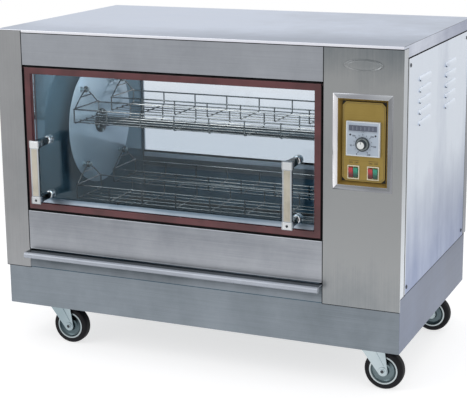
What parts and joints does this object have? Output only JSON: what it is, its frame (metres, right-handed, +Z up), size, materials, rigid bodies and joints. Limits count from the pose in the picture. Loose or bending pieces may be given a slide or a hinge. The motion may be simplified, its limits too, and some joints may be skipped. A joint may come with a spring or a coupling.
{
  "type": "rotisserie grill",
  "caption": "Steel rotisserie cabinet on casters: glass lift-up door, turning rotor with hanging wire baskets, pull-out drip tray and a side control column.",
  "frame": {"origin": "on the floor, under the middle of the whole object's bounding box", "axes": "+X to the right as seen from the door, +Y from the door to the rear, +Z up"},
  "size_m": [1.11, 0.746, 0.856],
  "materials": {
    "brushed_steel_front": "horizontally brushed, satin",
    "pale_steel": "fine satin, pale and slightly blue",
    "plinth_steel": "satin",
    "chamber_steel": "half-bright, slightly heat tinted",
    "maroon_frame": "semi-gloss maroon coating",
    "clear_glass": "clear, polished",
    "black_seal": "matt black heat-resistant rubber",
    "black_gland": "matt black",
    "bright_chrome": "polished",
    "aluminium_bezel": "satin anodised",
    "gold_plate": "gold anodised, fine brushed",
    "pale_grey_face": "fine matt",
    "slate_knob": "satin",
    "cream_switch": "semi-gloss",
    "red_rocker": "semi-gloss",
    "green_rocker": "semi-gloss",
    "zinc_caster": "bright zinc plating",
    "black_wheel": "matt black tyre, grey band round the rim",
    "cast_grey": "grey paint over castings",
    "dark_steel": "oiled dark steel"
  },
  "bodies": {
    "cabinet": {"plinth_frame": "plinth_steel", "chassis_deck": "chamber_steel", "left_post": "brushed_steel_front", "control_column": "brushed_steel_front", "upper_fascia": "brushed_steel_front", "lower_fascia": "brushed_steel_front", "top_cover": "pale_steel", "right_side_panel": "pale_steel", "left_side_panel": "pale_steel", "rear_panel": "brushed_steel_front", "rear_window_frame": "brushed_steel_front", "rear_glass": "clear_glass", "cable_gland": "black_gland", "chamber_left_wall": "chamber_steel", "chamber_right_wall": "chamber_steel", "chamber_roof": "chamber_steel", "upper_heater": "dark_steel", "lower_heater": "dark_steel", "left_bearing": "cast_grey", "right_bearing": "cast_grey", "drive_chain": "dark_steel", "gear_motor": "cast_grey", "control_bezel": "aluminium_bezel", "control_plate": "gold_plate", "thermostat": "pale_grey_face", "left_switch_housing": "cream_switch", "right_switch_housing": "cream_switch", "front_left_caster_plate": "zinc_caster", "front_right_caster_plate": "zinc_caster", "rear_left_caster_plate": "zinc_caster", "rear_right_caster_plate": "zinc_caster"},
    "door": {"door_frame": "maroon_frame", "door_glass": "clear_glass", "door_seal": "black_seal", "left_door_handle": "bright_chrome", "right_door_handle": "bright_chrome"},
    "rotor": {"rotor_shaft": "bright_chrome", "left_rotor_disc": "chamber_steel", "right_rotor_disc": "chamber_steel", "rotor_sprocket": "dark_steel"},
    "motor_pinion": {"motor_pinion": "dark_steel"},
    "drip_tray": {"drip_tray": "brushed_steel_front"},
    "thermostat_knob": {"thermostat_knob": "slate_knob"},
    "basket_1": {"basket_1": "bright_chrome"},
    "basket_2": {"basket_2": "bright_chrome"},
    "basket_3": {"basket_3": "bright_chrome"},
    "basket_4": {"basket_4": "bright_chrome"},
    "left_red_rocker": {"left_red_rocker": "red_rocker"},
    "left_green_rocker": {"left_green_rocker": "green_rocker"},
    "right_red_rocker": {"right_red_rocker": "red_rocker"},
    "right_green_rocker": {"right_green_rocker": "green_rocker"},
    "front_left_caster_fork": {"front_left_caster_fork": "zinc_caster"},
    "front_left_caster_wheel": {"front_left_caster_wheel": "black_wheel"},
    "front_right_caster_fork": {"front_right_caster_fork": "zinc_caster"},
    "front_right_caster_wheel": {"front_right_caster_wheel": "black_wheel"},
    "rear_left_caster_fork": {"rear_left_caster_fork": "zinc_caster"},
    "rear_left_caster_wheel": {"rear_left_caster_wheel": "black_wheel"},
    "rear_right_caster_fork": {"rear_right_caster_fork": "zinc_caster"},
    "rear_right_caster_wheel": {"rear_right_caster_wheel": "black_wheel"}
  },
  "joints": [
    {"name": "door_hinge", "type": "hinge", "parent": "cabinet", "child": "door", "pos_m": [-0.061, -0.302, 0.757], "axis": [-1, 0, 0], "range_deg": [0, 90]},
    {"name": "rotor_spin", "type": "hinge", "parent": "cabinet", "child": "rotor", "pos_m": [0, 0.013, 0.566], "axis": [1, 0, 0], "continuous": true},
    {"name": "basket_1_swing", "type": "hinge", "parent": "rotor", "child": "basket_1", "pos_m": [0, 0.118, 0.671], "axis": [1, 0, 0], "continuous": true},
    {"name": "basket_2_swing", "type": "hinge", "parent": "rotor", "child": "basket_2", "pos_m": [0, -0.09201, 0.671], "axis": [1, 0, 0], "continuous": true},
    {"name": "basket_3_swing", "type": "hinge", "parent": "rotor", "child": "basket_3", "pos_m": [0, -0.09201, 0.46099], "axis": [1, 0, 0], "continuous": true},
    {"name": "basket_4_swing", "type": "hinge", "parent": "rotor", "child": "basket_4", "pos_m": [0, 0.118, 0.46099], "axis": [1, 0, 0], "continuous": true},
    {"name": "motor_pinion_spin", "type": "hinge", "parent": "cabinet", "child": "motor_pinion", "pos_m": [0.376, 0.013, 0.416], "axis": [1, 0, 0], "continuous": true},
    {"name": "drip_tray_slide", "type": "slide", "parent": "cabinet", "child": "drip_tray", "axis": [0, -1, 0], "range_m": [0, 0.45]},
    {"name": "thermostat_knob_turn", "type": "hinge", "parent": "cabinet", "child": "thermostat_knob", "pos_m": [0.452, -0.3056, 0.622], "axis": [0, 1, 0], "range_deg": [0, 300]},
    {"name": "left_red_rocker_tilt", "type": "hinge", "parent": "cabinet", "child": "left_red_rocker", "pos_m": [0.4218, -0.3006, 0.5515], "axis": [-1, 0, 0], "range_deg": [0, 14]},
    {"name": "left_green_rocker_tilt", "type": "hinge", "parent": "cabinet", "child": "left_green_rocker", "pos_m": [0.4337, -0.3006, 0.5515], "axis": [-1, 0, 0], "range_deg": [0, 14]},
    {"name": "right_red_rocker_tilt", "type": "hinge", "parent": "cabinet", "child": "right_red_rocker", "pos_m": [0.4703, -0.3006, 0.5515], "axis": [-1, 0, 0], "range_deg": [0, 14]},
    {"name": "right_green_rocker_tilt", "type": "hinge", "parent": "cabinet", "child": "right_green_rocker", "pos_m": [0.4822, -0.3006, 0.5515], "axis": [-1, 0, 0], "range_deg": [0, 14]},
    {"name": "front_left_caster_swivel", "type": "hinge", "parent": "cabinet", "child": "front_left_caster_fork", "pos_m": [-0.415, -0.253, 0.1], "axis": [0, 0, 1], "continuous": true},
    {"name": "front_left_caster_roll", "type": "hinge", "parent": "front_left_caster_fork", "child": "front_left_caster_wheel", "pos_m": [-0.385, -0.253, 0.05], "axis": [0, 1, 0], "continuous": true},
    {"name": "front_right_caster_swivel", "type": "hinge", "parent": "cabinet", "child": "front_right_caster_fork", "pos_m": [0.47, -0.253, 0.1], "axis": [0, 0, 1], "continuous": true},
    {"name": "front_right_caster_roll", "type": "hinge", "parent": "front_right_caster_fork", "child": "front_right_caster_wheel", "pos_m": [0.5, -0.253, 0.05], "axis": [0, 1, 0], "continuous": true},
    {"name": "rear_left_caster_swivel", "type": "hinge", "parent": "cabinet", "child": "rear_left_caster_fork", "pos_m": [-0.415, 0.203, 0.1], "axis": [0, 0, 1], "continuous": true},
    {"name": "rear_left_caster_roll", "type": "hinge", "parent": "rear_left_caster_fork", "child": "rear_left_caster_wheel", "pos_m": [-0.385, 0.203, 0.05], "axis": [0, 1, 0], "continuous": true},
    {"name": "rear_right_caster_swivel", "type": "hinge", "parent": "cabinet", "child": "rear_right_caster_fork", "pos_m": [0.47, 0.203, 0.1], "axis": [0, 0, 1], "continuous": true},
    {"name": "rear_right_caster_roll", "type": "hinge", "parent": "rear_right_caster_fork", "child": "rear_right_caster_wheel", "pos_m": [0.5, 0.203, 0.05], "axis": [0, 1, 0], "continuous": true}
  ],
  "couplings": [
    {"joint": "basket_1_swing", "follows": "rotor_spin", "ratio": -1},
    {"joint": "basket_2_swing", "follows": "rotor_spin", "ratio": -1},
    {"joint": "basket_3_swing", "follows": "rotor_spin", "ratio": -1},
    {"joint": "basket_4_swing", "follows": "rotor_spin", "ratio": -1},
    {"joint": "motor_pinion_spin", "follows": "rotor_spin", "ratio": 3}
  ]
}
